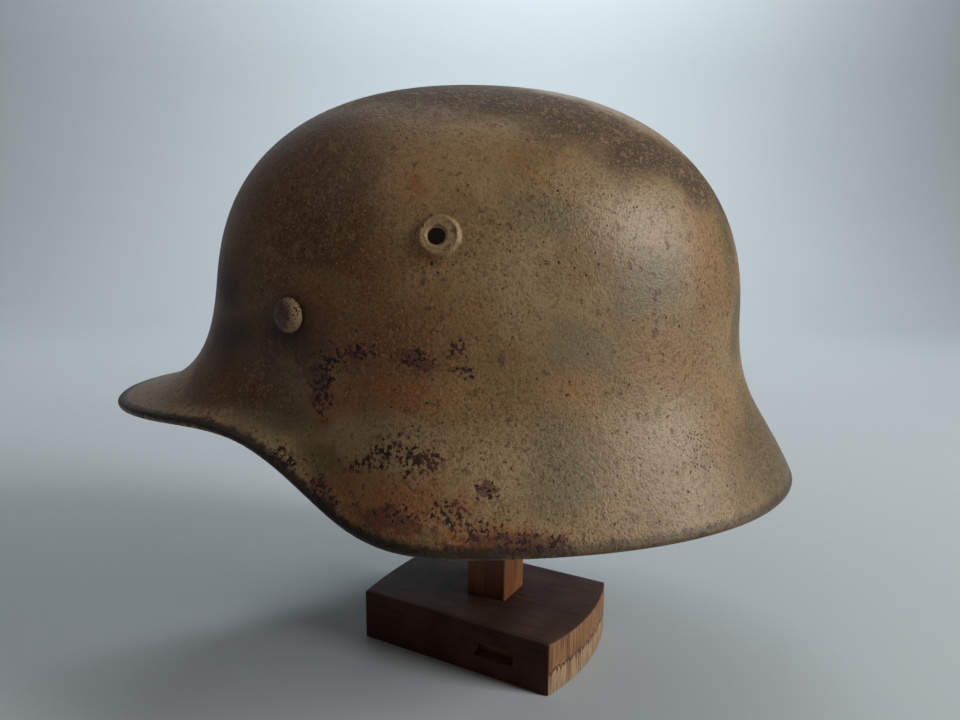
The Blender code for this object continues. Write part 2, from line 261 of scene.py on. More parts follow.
def shell_skin(azimuth, row):
    """Points of the closed skin by row: down the outer face, round the roll, up the inner face."""
    down_outside = np.interp(row, (0, DOME_ROWS, RIM_ROW), (0, 1, 2))
    up_inside = np.interp(row, (CURL_ROW + 1, WAIST_INSIDE_ROW, LAST_ROW), (CURL_MEETS_INSIDE, 1, 0))
    station = np.where(row <= RIM_ROW, down_outside, up_inside)
    station = np.where((row > RIM_ROW) & (row < CURL_ROW + 1), 2.0, station)
    down, out = face_directions(azimuth, station)
    point = outer_face(azimuth, station)
    closing = math.tau - math.acos((ROLL_RADIUS - SHEET) / ROLL_RADIUS)
    turn = (closing * (row - RIM_ROW) / ROLL_ROWS)[:, None]
    curl = point + ROLL_RADIUS * (out * (np.cos(turn) - 1) + down * np.sin(turn))
    inner = (row > CURL_ROW + 0.5)[:, None]
    rolled = (row > RIM_ROW)[:, None]
    return np.where(inner, point - SHEET * out, np.where(rolled, curl, point))


def seat_on_shell(azimuth, above_rim):
    """The place and outward direction of a fitting on the outer face at this height, in metres."""
    low, high = 0.0, 2.0
    close_enough = 1e-6
    turn = np.array([math.radians(azimuth)])
    while high - low > close_enough:
        middle = (low + high) / 2
        if outer_face(turn, np.array([middle]))[0, 2] > RIM_ABOVE_FLOOR + above_rim:
            low = middle
        else:
            high = middle
    station = np.array([low])
    out = Vector(face_directions(turn, station)[1][0])
    point = Vector(outer_face(turn, station)[0])
    return Matrix.Translation(point) @ out.to_track_quat("Z", "Y").to_matrix().to_4x4()


def smoothstep(value, low, high):
    t = np.clip((value - low) / (high - low), 0, 1)
    return t * t * (3 - 2 * t)


def vent_relief(from_ring, from_hole):
    """How far the sheet is pressed out round a vent: a ring with a dished top and a rolled lip."""
    slope = smoothstep(from_ring, VENT_RADIUS, VENT_CREST_RADIUS)
    edge, floor = VENT_CREST_RADIUS * VENT_DISH_EDGE_SHARE, VENT_CREST_RADIUS * VENT_DISH_FLOOR_SHARE
    dish = VENT_DISH_DEPTH * smoothstep(from_ring, edge, floor)
    into_lip = np.clip((VENT_HOLE_RADIUS + VENT_LIP_WIDTH - from_hole) / VENT_LIP_WIDTH, 0, 1)
    rolled_in = VENT_LIP_WIDTH * (1 - np.sqrt(np.maximum(1 - into_lip**2, 0)))
    return VENT_PROUD * slope - dish - rolled_in


def press_vents(points):
    for azimuth in VENT_AZIMUTHS:
        place = seat_on_shell(azimuth, VENT_ABOVE_RIM)
        local = np.array(place.inverted())
        flat = points @ local[:3, :3].T + local[:3, 3]
        hole = place.inverted().to_3x3() @ Vector((0, -VENT_HOLE_AHEAD_OF_RING, 0))
        near = np.linalg.norm(flat, axis=1) < VENT_REFINED
        from_ring = np.hypot(flat[near, 0], flat[near, 1])
        from_hole = np.hypot(flat[near, 0] - hole.x, flat[near, 1] - hole.y)
        points[near] += vent_relief(from_ring, from_hole)[:, None] * np.array(place.to_3x3().col[2])
    return points


def mesh_of(name, shape):
    mesh = bpy.data.meshes.new(name)
    shape.to_mesh(mesh)
    shape.free()
    return mesh


def add_piece(name, mesh, *finishes):
    for finish in finishes:
        mesh.materials.append(finish)
    piece = bpy.data.objects.new(name, mesh)
    bpy.context.scene.collection.objects.link(piece)
    return piece


def turned(profile):
    """A round solid spun from (radius, height) points that run down its outer side."""
    shape = bmesh.new()
    points = [shape.verts.new((radius, 0, height)) for radius, height in profile]
    line = [shape.edges.new(pair) for pair in zip(points, points[1:])]
    bmesh.ops.spin(
        shape,
        geom=points + line,
        axis=(0, 0, 1),
        cent=(0, 0, 0),
        angle=math.tau,
        steps=TURNED_STEPS,
        use_merge=True,
    )
    bmesh.ops.remove_doubles(shape, verts=shape.verts, dist=MERGE_WITHIN)
    bmesh.ops.recalc_face_normals(shape, faces=shape.faces)
    return shape


def cut_away(piece, cutters):
    """Cuts the cutters out of the piece and leaves the result in its mesh."""
    for cutter in cutters:
        cut = piece.modifiers.new("cut", "BOOLEAN")
        cut.object = cutter
        cut.operation = "DIFFERENCE"
        cut.solver = "EXACT"
    graph = bpy.context.evaluated_depsgraph_get()
    made = bpy.data.meshes.new_from_object(piece.evaluated_get(graph))
    piece.modifiers.clear()
    piece.data = made
    for cutter in cutters:
        bpy.data.objects.remove(cutter)


def azimuth_and_row(flat):
    """Where points of the flat grid come to lie on the shell's skin."""
    flat = np.array(flat)
    return (flat[:, 0] + 0.5) * math.tau, (flat[:, 1] + 0.5) * LAST_ROW


def refine_near_vents(shape):
    """Cuts the flat grid up finely where a vent will be pressed, on both faces of the sheet."""
    places = shell_skin(*azimuth_and_row([face.calc_center_median() for face in shape.faces]))
    near = set()
    for azimuth in VENT_AZIMUTHS:
        centre = np.array(seat_on_shell(azimuth, VENT_ABOVE_RIM).translation)
        near.update(np.flatnonzero(np.linalg.norm(places - centre, axis=1) < VENT_REFINED).tolist())
    shape.faces.index_update()
    edges = [edge for edge in shape.edges if any(face.index in near for face in edge.link_faces)]
    bmesh.ops.subdivide_edges(shape, edges=edges, cuts=VENT_CUTS, use_grid_fill=True)


def shell_shape():
    """The rolled-edge sheet, bent from a flat grid: its azimuth along x and its rows along y."""
    shape = bmesh.new()
    bmesh.ops.create_grid(shape, x_segments=SHELL_COLUMNS, y_segments=LAST_ROW, size=0.5)
    refine_near_vents(shape)
    face_rows = azimuth_and_row([face.calc_center_median() for face in shape.faces])[1]
    for face, row in zip(shape.faces, face_rows):
        face.material_index = int(row > INSIDE_PAINT_ROW)
        face.smooth = True
    points = press_vents(shell_skin(*azimuth_and_row([vert.co for vert in shape.verts])))
    for vert, point in zip(shape.verts, points):
        vert.co = point
    bmesh.ops.remove_doubles(shape, verts=shape.verts, dist=MERGE_WITHIN)
    bmesh.ops.recalc_face_normals(shape, faces=shape.faces)
    return shape


def press_shell(outside, inside):
    shell = add_piece("pressed_shell", mesh_of("pressed_shell", shell_shape()), outside, inside)
    ahead = Matrix.Translation((0, -VENT_HOLE_AHEAD_OF_RING, 0))
    drills = [drill(VENT_HOLE_RADIUS, ahead @ seat_on_shell(side, VENT_ABOVE_RIM)) for side in VENT_AZIMUTHS]
    for azimuth in RIVETS.values():
        drills.append(drill(RIVET_SHANK_RADIUS + GAP, seat_on_shell(azimuth, RIVET_ABOVE_RIM)))
    cut_away(shell, drills)
    mark_rim(shell.data)
    return shell


def drill(radius, place):
    side = ((radius, DRILL_REACH), (radius, -DRILL_REACH))
    shape = turned([(0, DRILL_REACH), *side, (0, -DRILL_REACH)])
    bmesh.ops.transform(shape, matrix=place, verts=shape.verts)
    return add_piece("drill", mesh_of("drill", shape))


def mark_rim(mesh):
    """Stores how far each point lies from the rim's edge, in millimetres, for the wear and painted shade
    there.
    """
    points = np.empty(len(mesh.vertices) * 3)
    mesh.vertices.foreach_get("co", points)
    points = points.reshape(-1, 3)
    azimuth = np.arctan2(points[:, 0], -(points[:, 1] + DOME_AHEAD_OF_POST))
    rim = outer_face(azimuth, np.full(len(azimuth), 2.0))
    from_rim = mesh.attributes.new("from_rim", "FLOAT", "POINT")
    from_rim.data.foreach_set("value", np.linalg.norm(points - rim, axis=1) / MM)


def rivet_profile():
    """Down the domed head, under it, along the shank and round the clinched end."""
    crown = RIVET_HEAD_HEIGHT - RIVET_EDGE
    bearing = -SHEET - 2 * GAP
    dome = [
        (RIVET_HEAD_RADIUS * math.sin(turn), GAP + RIVET_EDGE + crown * math.cos(turn))
        for turn in np.linspace(0, math.pi / 2, RIVET_DOME_STEPS + 1)
    ]
    return [
        *dome,
        (RIVET_HEAD_RADIUS * RIVET_UNDERSIDE_SHARE, GAP),
        (RIVET_SHANK_RADIUS, GAP),
        (RIVET_SHANK_RADIUS, bearing),
        (RIVET_CLINCH_RADIUS, bearing),
        (RIVET_CLINCH_RADIUS, bearing - RIVET_CLINCH_THICKNESS),
        (0, bearing - RIVET_CLINCH_THICKNESS),
    ]


def domed_rivet(name, azimuth, finish):
    shape = turned(rivet_profile())
    for face in shape.faces:
        face.smooth = True
    # Distance from a line just beside the axis, so that the painted highlight lies on one shoulder
    from_axis = shape.verts.layers.float.new("from_axis")
    for vert in shape.verts:
        vert[from_axis] = math.hypot(vert.co.x + RIVET_HIGHLIGHT_ASIDE, vert.co.y) / MM
    bmesh.ops.transform(shape, matrix=seat_on_shell(azimuth, RIVET_ABOVE_RIM), verts=shape.verts)
    return add_piece(f"domed_{name}", mesh_of(name, shape), finish)


def base_place():
    """The block's own axes: +X along its length, towards the end with the fuller bulge."""
    return Matrix.Translation(BASE_SHIFT) @ Matrix.Rotation(BASE_TURN, 4, "Z")


def bow(across, bulge):
    """How far a bulged end stands out at this place across the block."""
    half = BASE_WIDTH / 2
    radius = (half**2 + bulge**2) / (2 * bulge)
    return math.sqrt(radius**2 - across**2) - (radius - bulge)


def box_shape(size, middle):
    shape = bmesh.new()
    bmesh.ops.create_cube(shape, size=1)
    bmesh.ops.scale(shape, vec=size, verts=shape.verts)
    bmesh.ops.translate(shape, vec=middle, verts=shape.verts)
    return shape


def corners_of(shape):
    """The edges where two faces meet at a corner."""
    shared = [edge for edge in shape.edges if len(edge.link_faces) == 2]
    return [edge for edge in shared if edge.calc_face_angle() > math.radians(CORNER_DEGREES)]


def round_off(shape, edges, width, segments):
    bmesh.ops.bevel(
        shape,
        geom=edges,
        offset=width,
        segments=segments,
        profile=0.5,
        affect="EDGES",
        material=-1,
    )


# The block's finishes, by the number of their material, and how far along the block a face has
# to look to be its raw end
STAINED, RAW_END, LIT_MORTISE = range(3)
LOOKS_ALONG = 0.75


def block_shape():
    """The block about its own axes, with bowed ends and its corners rounded off."""
    shape = box_shape((BASE_LENGTH, BASE_WIDTH, BASE_THICKNESS), (0, 0, BASE_THICKNESS / 2))
    across = [edge for edge in shape.edges if abs((edge.verts[0].co - edge.verts[1].co).y) > BASE_WIDTH / 2]
    bmesh.ops.subdivide_edges(shape, edges=across, cuts=BASE_BULGE_CUTS)
    for vert in shape.verts:
        bulge = BASE_BULGE_NEAR if vert.co.x > 0 else BASE_BULGE_FAR
        vert.co.x += math.copysign(bow(vert.co.y, bulge), vert.co.x)
    round_off(shape, corners_of(shape), BASE_EDGE, segments=3)
    for face in shape.faces:
        face.material_index = RAW_END if face.normal.x > LOOKS_ALONG else STAINED
        face.smooth = True
    return shape


def socket_shape():
    """What is taken out of the block's top for the post."""
    side = POST_SIDE + 2 * GAP
    shape = box_shape((side, side, 2 * (SOCKET_DEPTH + GAP)), (0, 0, BASE_THICKNESS))
    bmesh.ops.transform(shape, matrix=Matrix.Rotation(BASE_TURN, 4, "Z"), verts=shape.verts)
    return shape


def mortise_shape():
    """What is taken out of the block's near side."""
    size = (MORTISE_LENGTH, 2 * MORTISE_DEPTH, MORTISE_HEIGHT)
    shape = box_shape(size, (MORTISE_OFFSET, -BASE_WIDTH / 2, BASE_THICKNESS / 2))
    bmesh.ops.transform(shape, matrix=base_place(), verts=shape.verts)
    # The mortise's faces get the lighter wood, painted light in the recess
    for face in shape.faces:
        face.material_index = LIT_MORTISE
    return shape


def shape_block(*finishes):
    block = add_piece("stained_block", mesh_of("stained_block", block_shape()), *finishes)
    block.data.transform(base_place())
    hollows = {"socket": socket_shape(), "mortise": mortise_shape()}
    cut_away(block, [add_piece(name, mesh_of(name, shape), *finishes) for name, shape in hollows.items()])
    block.data.set_sharp_from_angle(angle=math.radians(SHARP_DEGREES))
    return block


def shape_post(finish):
    low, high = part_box("stand_post")
    shape = box_shape((POST_SIDE, POST_SIDE, high.z - low.z), (0, 0, (high.z + low.z) / 2))
    top = [edge for edge in shape.edges if all(vert.co.z > high.z - GAP for vert in edge.verts)]
    round_off(shape, top, POST_TOP_CHAMFER, segments=1)
    round_off(shape, corners_of(shape), POST_EDGE, segments=2)
    bmesh.ops.transform(shape, matrix=Matrix.Rotation(BASE_TURN, 4, "Z"), verts=shape.verts)
    return add_piece("oak_post", mesh_of("oak_post", shape), finish)


def srgb(red, green, blue):
    """A paint colour read off as 0 to 255, turned into the light that it reflects."""

    def light(value):
        value /= 255
        return value / 12.92 if value <= 0.04045 else ((value + 0.055) / 1.055) ** 2.4

    return (light(red), light(green), light(blue), 1.0)


# How much of a pit's radius its floor takes up
PIT_FLOOR_SHARE = 0.6


class Finish:
    """One material and the short calls that lay out its nodes, with places in millimetres."""

    def __init__(self, name, specular=0.5):
        self.material = bpy.data.materials.new(name)
        self.material.use_nodes = True
        self.tree = self.material.node_tree
        self.shader = self.tree.nodes["Principled BSDF"]
        self.shader.inputs["Specular IOR Level"].default_value = specular
        coordinates = self.tree.nodes.new("ShaderNodeTexCoord")
        self.place = self.stretched(coordinates.outputs["Object"], (1 / MM,) * 3)

    def add(self, kind, inputs, **settings):
        made = self.tree.nodes.new(kind)
        for key, value in settings.items():
            setattr(made, key, value)
        for key, value in inputs.items():
            if isinstance(value, bpy.types.NodeSocket):
                self.tree.links.new(value, made.inputs[key])
            else:
                made.inputs[key].default_value = value
        return made

    def stretched(self, place, scale):
        return self.add("ShaderNodeMapping", {"Vector": place, "Scale": scale}).outputs[0]

    def onto(self, place, matrix, scale):
        """The place seen from a spot on the surface, with one unit this many millimetres long."""
        spot = {
            "Vector": place,
            "Location": matrix.translation / MM,
            "Rotation": matrix.to_euler(),
            "Scale": scale,
        }
        return self.add("ShaderNodeMapping", spot, vector_type="TEXTURE").outputs[0]

    def along(self, place, axis):
        """How far the place lies along one axis."""
        return self.add("ShaderNodeSeparateXYZ", {0: place}).outputs[axis]

    def attribute(self, name):
        return self.add("ShaderNodeAttribute", {}, attribute_name=name).outputs["Fac"]

    def math(self, operation, first, second):
        return self.add("ShaderNodeMath", {0: first, 1: second}, operation=operation).outputs[0]

    def plus(self, first, second):
        return self.math("ADD", first, second)

    def minus(self, first, second):
        return self.math("SUBTRACT", first, second)

    def times(self, first, second):
        return self.math("MULTIPLY", first, second)

    def vector_math(self, operation, inputs):
        return self.add("ShaderNodeVectorMath", inputs, operation=operation).outputs[0]

    def cloud(self, place, size, detail=2.0, roughness=0.5):
        """Soft noise whose patches are this many millimetres across."""
        inputs = {"Vector": place, "Scale": 1 / size, "Detail": detail, "Roughness": roughness}
        return self.add("ShaderNodeTexNoise", inputs).outputs[0]

    def wandered(self, place, size, reach):
        """The place pushed about by noise, so that what is drawn on it gets ragged edges."""
        noise = self.add("ShaderNodeTexNoise", {"Vector": place, "Scale": 1 / size, "Detail": 2.0})
        centred = self.vector_math("SUBTRACT", {0: noise.outputs[1], 1: (0.5, 0.5, 0.5)})
        pushed = self.vector_math("SCALE", {0: centred, "Scale": 2 * reach})
        return self.vector_math("ADD", {0: place, 1: pushed})

    def step(self, value, low, high):
        """0 below the low value, 1 above the high one, and a soft rise between."""
        inputs = {"Value": value, "From Min": low, "From Max": high}
        return self.add("ShaderNodeMapRange", inputs, interpolation_type="SMOOTHSTEP").outputs[0]

    def scaled(self, value, low, high):
        """A 0 to 1 value stretched between these two."""
        return self.add("ShaderNodeMapRange", {"Value": value, "To Min": low, "To Max": high}).outputs[0]

    def over(self, below, above, amount):
        """One colour laid over another, wholly where the amount is 1."""
        return self.add("ShaderNodeMix", {0: amount, 6: below, 7: above}, data_type="RGBA").outputs[2]

    def all_of(self, values):
        """The highest of the values at each place."""
        total = values[0]
        for value in values[1:]:
            total = self.math("MAXIMUM", total, value)
        return total

    def spots(self, place, spots):
        """1 at the middle of each spot, falling to 0 at its edge."""
        drawn = []
        for spot in spots:
            turn = Matrix.Rotation(math.radians(spot.turn), 4, "Z")
            matrix = seat_on_shell(spot.at, spot.up * MM) @ turn
            local = self.onto(place, matrix, (spot.wide, spot.tall, max(spot.wide, spot.tall)))
            ball = self.add("ShaderNodeTexGradient", {"Vector": local}, gradient_type="SPHERICAL")
            drawn.append(ball.outputs[1])
        return self.all_of(drawn)

    def pinholes(self, place, size, radius, share):
        """Small round pits, in this share of cells of this size."""
        cells = self.add("ShaderNodeTexVoronoi", {"Vector": place, "Scale": 1 / size})
        edge, floor = radius / size, radius / size * PIT_FLOOR_SHARE
        near = self.step(cells.outputs["Distance"], edge, floor)
        lot = self.add("ShaderNodeSeparateColor", {0: cells.outputs["Color"]}).outputs[0]
        return self.times(near, self.math("LESS_THAN", lot, share))

    def off_centre(self, cloud, strength):
        """A cloud's value about zero, so that it can be added to another."""
        return self.times(self.minus(cloud, 0.5), strength)

    def finish(self, colour, roughness, height, depth):
        """Feeds the shader. The depth is how deep the height's full range is, in millimetres."""
        bump = self.add("ShaderNodeBump", {"Height": height, "Distance": depth * MM, "Strength": 1.0})
        self.tree.links.new(colour, self.shader.inputs["Base Color"])
        self.tree.links.new(roughness, self.shader.inputs["Roughness"])
        self.tree.links.new(bump.outputs[0], self.shader.inputs["Normal"])
        return self.material


# Where each paint, stain or painted light lies: at which azimuth, in degrees from the front, how many
# millimetres up from the rim, half its width and half its height, and its turn in degrees
Spot = namedtuple("Spot", "at up wide tall turn", defaults=(0,))

DARK_PATCHES = (
    Spot(at=30, up=116, wide=66, tall=46),
    Spot(at=50, up=108, wide=34, tall=34),
    Spot(at=58, up=98, wide=18, tall=22, turn=20),
    Spot(at=28, up=74, wide=52, tall=36),
    Spot(at=34, up=48, wide=36, tall=22),
    Spot(at=-48, up=106, wide=28, tall=30, turn=20),
    Spot(at=-62, up=92, wide=26, tall=18, turn=-24),
    Spot(at=-40, up=80, wide=30, tall=16, turn=-30),
)
CROWN_PATCHES = (
    Spot(at=70, up=144, wide=46, tall=25),
    Spot(at=88, up=140, wide=42, tall=21),
    Spot(at=104, up=136, wide=38, tall=20),
    Spot(at=118, up=129, wide=34, tall=18),
    Spot(at=131, up=121, wide=28, tall=17),
    Spot(at=144, up=114, wide=24, tall=18),
    Spot(at=-104, up=118, wide=26, tall=12, turn=-20),
    Spot(at=-120, up=110, wide=30, tall=14, turn=24),
    Spot(at=-137, up=104, wide=24, tall=11, turn=-14),
    Spot(at=162, up=109, wide=26, tall=16, turn=20),
)
# Dark umber paint low on the front, made darker still as painted shade where the front falls away from the
# light
UMBER_AND_SHADE_PATCHES = (
    Spot(at=34, up=60, wide=34, tall=16),
    Spot(at=30, up=76, wide=30, tall=18),
    Spot(at=50, up=60, wide=27, tall=18, turn=-8),
    Spot(at=-36, up=58, wide=34, tall=22),
)
BROWN_PATCHES = (
    Spot(at=58, up=66, wide=32, tall=26, turn=-20),
    Spot(at=71, up=60, wide=36, tall=22),
    Spot(at=67, up=80, wide=22, tall=16, turn=-20),
    Spot(at=73, up=5, wide=26, tall=9),
    Spot(at=-70, up=60, wide=34, tall=26),
    Spot(at=-104, up=42, wide=34, tall=18, turn=-12),
    Spot(at=-120, up=52, wide=26, tall=18, turn=24),
    Spot(at=-166, up=50, wide=40, tall=20, turn=16),
    Spot(at=-150, up=143, wide=34, tall=20),
    Spot(at=-10, up=60, wide=40, tall=16),
)
OLIVE_PATCHES = (
    Spot(at=107, up=58, wide=20, tall=15, turn=-20),
    Spot(at=121, up=76, wide=24, tall=16, turn=20),
    Spot(at=102, up=22, wide=17, tall=22, turn=10),
    Spot(at=100, up=98, wide=18, tall=11),
    Spot(at=-84, up=64, wide=36, tall=22, turn=-20),
    Spot(at=-128, up=26, wide=28, tall=24),
    Spot(at=-22, up=112, wide=30, tall=30),
    Spot(at=-172, up=82, wide=28, tall=24),
    Spot(at=-160, up=120, wide=38, tall=20, turn=10),
    Spot(at=-30, up=146, wide=40, tall=22),
    Spot(at=-40, up=36, wide=22, tall=14),
)
MOSS_PATCHES = (
    Spot(at=48, up=36, wide=28, tall=17, turn=-14),
    Spot(at=62, up=18, wide=18, tall=9, turn=-34),
    Spot(at=76, up=4, wide=26, tall=7, turn=-4),
    Spot(at=152, up=98, wide=13, tall=28, turn=-10),
    Spot(at=154, up=62, wide=13, tall=24),
    Spot(at=154, up=14, wide=50, tall=30),
    Spot(at=-62, up=18, wide=26, tall=12),
)
TAN_PATCHES = (
    Spot(at=74, up=108, wide=17, tall=22),
    Spot(at=80, up=70, wide=26, tall=22, turn=-10),
    Spot(at=66, up=43, wide=26, tall=14),
    Spot(at=62, up=20, wide=22, tall=12, turn=-20),
    Spot(at=84, up=46, wide=22, tall=10),
    Spot(at=107, up=44, wide=20, tall=7),
    Spot(at=126, up=50, wide=28, tall=17),
    Spot(at=138, up=84, wide=16, tall=32),
    Spot(at=138, up=22, wide=16, tall=20),
    Spot(at=70, up=14, wide=26, tall=14, turn=-10),
    Spot(at=109, up=125, wide=9, tall=5),
    Spot(at=134, up=131, wide=10, tall=5),
    Spot(at=-96, up=88, wide=40, tall=16),
    Spot(at=-140, up=76, wide=24, tall=22),
    Spot(at=-74, up=28, wide=30, tall=16),
    Spot(at=168, up=44, wide=30, tall=18),
    Spot(at=8, up=62, wide=26, tall=14),
)
# Pale sand paint. The first two spots are also painted highlights where the light catches the rear flare and
# the dome, and the spots at 60 and 63 degrees low on the temple flare are partly painted light
PALE_PAINT_AND_HIGHLIGHTS = (
    Spot(at=126, up=31, wide=26, tall=17),
    Spot(at=119, up=98, wide=26, tall=16),
    Spot(at=92, up=24, wide=26, tall=18),
    Spot(at=70, up=31, wide=32, tall=15, turn=-6),
    Spot(at=60, up=25, wide=24, tall=15, turn=-20),
    Spot(at=95, up=80, wide=22, tall=22),
    Spot(at=36, up=31, wide=24, tall=10, turn=-10),
    Spot(at=63, up=17, wide=20, tall=10, turn=-26),
    Spot(at=51, up=24, wide=18, tall=8, turn=-24),
    Spot(at=-100, up=18, wide=36, tall=16),
    Spot(at=-140, up=104, wide=26, tall=16),
    Spot(at=166, up=76, wide=20, tall=14),
)
RUST_STAINS = (
    Spot(at=61, up=40, wide=20, tall=10, turn=10),
    Spot(at=71, up=45, wide=24, tall=9),
    Spot(at=64, up=43, wide=22, tall=8, turn=6),
    Spot(at=58, up=34, wide=9, tall=6),
    Spot(at=76, up=14, wide=32, tall=14, turn=-4),
    Spot(at=68, up=11, wide=15, tall=6, turn=-24),
    Spot(at=92, up=4, wide=30, tall=7),
    Spot(at=80, up=84, wide=6, tall=4),
    Spot(at=75.5, up=107, wide=4, tall=5),
    Spot(at=-88, up=12, wide=34, tall=12),
    Spot(at=-66, up=50, wide=24, tall=16),
    Spot(at=-176, up=14, wide=30, tall=12),
)
RUST_SMEARS = (
    Spot(at=75, up=8.5, wide=18, tall=4.5, turn=-4),
    Spot(at=94, up=2.5, wide=26, tall=5),
    Spot(at=62, up=8, wide=14, tall=6, turn=-38),
    Spot(at=77.5, up=54, wide=7, tall=4, turn=-20),
    Spot(at=57, up=46, wide=6, tall=9),
    Spot(at=89.8, up=17.6, wide=3.6, tall=3.2, turn=30),
    Spot(at=-94, up=5, wide=30, tall=7),
)
CHIPPED_SPOTS = (
    Spot(at=58.3, up=43, wide=7, tall=14, turn=-8),
    Spot(at=60.5, up=53, wide=10, tall=7, turn=24),
    Spot(at=67, up=56, wide=9, tall=5),
    Spot(at=77, up=54.5, wide=10, tall=6.5, turn=-10),
    Spot(at=84, up=57, wide=9, tall=5, turn=20),
    Spot(at=86, up=51, wide=7, tall=3.5),
    Spot(at=73.5, up=26, wide=13, tall=9, turn=14),
    Spot(at=79, up=25, wide=11, tall=8),
    Spot(at=68, up=22, wide=9, tall=5, turn=20),
    Spot(at=53, up=20, wide=13, tall=6, turn=-24),
    Spot(at=61, up=12, wide=14, tall=6, turn=-38),
    Spot(at=80.5, up=83.5, wide=3.5, tall=2, turn=20),
    Spot(at=89.8, up=17.2, wide=5.5, tall=5.5),
    Spot(at=76, up=10, wide=13, tall=4),
    Spot(at=84.5, up=10.5, wide=12, tall=7, turn=-20),
    Spot(at=88.5, up=6.5, wide=13, tall=6, turn=-10),
    Spot(at=97, up=4, wide=18, tall=4.5),
    Spot(at=-78, up=26, wide=13, tall=6, turn=20),
    Spot(at=-72, up=31, wide=9, tall=5),
    Spot(at=-85, up=20, wide=9, tall=4),
    Spot(at=-64, up=50, wide=10, tall=6),
    Spot(at=-69, up=57, wide=9, tall=4, turn=-30),
    Spot(at=-96, up=8, wide=22, tall=5),
    Spot(at=-168, up=9, wide=18, tall=5),
    Spot(at=-178, up=5, wide=16, tall=5),
    Spot(at=12, up=84, wide=10, tall=6),
)
VENT_RINGS = tuple(
    Spot(at=azimuth, up=VENT_ABOVE_RIM / MM, wide=9, tall=9) for azimuth in VENT_AZIMUTHS
)
# Darker rings round the rivets, and a painted shadow below each of the two front rivets
RIVET_GRIME_AND_SHADOWS = (
    Spot(at=52, up=66.6, wide=8.5, tall=8.5),
    Spot(at=51, up=61.5, wide=7, tall=4),
    Spot(at=-52, up=66.6, wide=8.5, tall=8.5),
    Spot(at=-51, up=61.5, wide=7, tall=4),
    Spot(at=180, up=66.6, wide=8.5, tall=8.5),
)
SMOOTHER_SPOTS = (
    Spot(at=62, up=25, wide=36, tall=20, turn=-12),
    Spot(at=84, up=110, wide=34, tall=24),
    Spot(at=106, up=66, wide=42, tall=34),
)
PITTED_SPOTS = (
    Spot(at=129.8, up=23, wide=10, tall=9),
    Spot(at=-110, up=64, wide=12, tall=9),
)


class ShellPaint(Finish):
    """The shell's paint, laid on coat by coat, and the clouds that break up its coats."""

    def __init__(self, name, specular):
        super().__init__(name, specular)
        self.drift = self.wandered(self.place, size=26, reach=9)
        self.ragged = self.wandered(self.place, size=7, reach=2)
        self.grain = self.cloud(self.place, size=0.95, detail=3, roughness=0.7)
        self.mottle = self.cloud(self.place, size=3.2, detail=4, roughness=0.72)
        self.stain = self.cloud(self.place, size=7, detail=5, roughness=0.72)
        self.fleck = self.plus(self.off_centre(self.grain, 0.9), self.off_centre(self.mottle, 1.3))
        self.colour = self.sand()

    def sand(self):
        broad = self.cloud(self.place, size=30, detail=4, roughness=0.6)
        return self.over(srgb(124, 98, 62), srgb(142, 118, 82), self.step(broad, 0.4, 0.62))

    def lay(self, tone, amount):
        """Lays a tone over the colour so far, wholly where the amount is 1."""
        self.colour = self.over(self.colour, tone, amount)

    def spray(self, tone, patches, start, full, amount):
        """Lays a coat in patches with an edge that breaks up into specks, and returns where it is."""
        cover = self.step(self.plus(self.spots(self.drift, patches), self.fleck), start, full)
        self.lay(tone, self.times(cover, amount))
        return cover

    def dust(self, tone, cloud, start, full, amount):
        """Scatters specks of a tone wherever the cloud goes past these two values."""
        self.lay(tone, self.times(self.step(cloud, start, full), amount))


def spray_camouflage(paint):
    """The coats over the sand, ending with the pale rings round the vents. Returns the crown's band."""
    # The pale coat holds painted highlights on the rear flare and dome as well as pale paint
    paint.spray(srgb(152, 132, 98), PALE_PAINT_AND_HIGHLIGHTS, start=0.05, full=0.75, amount=0.8)
    paint.spray(srgb(142, 106, 64), TAN_PATCHES, start=0.0, full=0.8, amount=0.7)
    paint.spray(srgb(104, 98, 74), OLIVE_PATCHES, start=0.0, full=0.75, amount=0.72)
    paint.spray(srgb(110, 67, 37), BROWN_PATCHES, start=0.0, full=0.8, amount=0.85)
    paint.spray(srgb(88, 79, 52), MOSS_PATCHES, start=0.0, full=0.6, amount=0.85)
    crown = paint.spray(srgb(52, 40, 22), CROWN_PATCHES, start=0.0, full=0.5, amount=0.93)
    paint.spray(srgb(90, 61, 36), DARK_PATCHES, start=0.08, full=0.25, amount=0.95)
    ring = paint.plus(paint.spots(paint.place, VENT_RINGS), paint.off_centre(paint.grain, 0.12))
    paint.dust(srgb(160, 136, 100), ring, start=0.2, full=0.34, amount=0.45)
    return crown


def stain_and_fleck(paint):
    """Rust seeped into the paint, then dark and pale flecks, which are fainter on smoother spots."""
    stained = paint.plus(paint.spots(paint.drift, RUST_STAINS), paint.off_centre(paint.stain, 1.3))
    stained = paint.plus(stained, paint.off_centre(paint.grain, 1.2))
    paint.dust(srgb(134, 76, 36), stained, start=0.08, full=0.76, amount=0.68)
    smoother = paint.step(paint.spots(paint.drift, SMOOTHER_SPOTS), 0.0, 0.6)
    dark_grains, pale_grains = paint.scaled(smoother, 0.62, 0.34), paint.scaled(smoother, 0.42, 0.3)
    paint.dust(srgb(44, 30, 19), paint.grain, start=0.49, full=0.35, amount=dark_grains)
    paint.dust(srgb(182, 158, 116), paint.grain, start=0.54, full=0.68, amount=pale_grains)
    dark_flecks = paint.scaled(smoother, 0.5, 0.28)
    paint.dust(srgb(56, 40, 24), paint.mottle, start=0.49, full=0.33, amount=dark_flecks)
    paint.dust(srgb(166, 142, 102), paint.mottle, start=0.53, full=0.68, amount=0.36)


def scuff_crown(paint, crown):
    """Brings the older paint back where the crown's dark band is rubbed."""
    scuffs = paint.plus(paint.off_centre(paint.grain, 1.5), paint.off_centre(paint.mottle, 0.7))
    worn = paint.times(crown, paint.step(scuffs, 0.03, 0.18))
    paint.lay(srgb(134, 106, 66), paint.times(worn, 0.45))


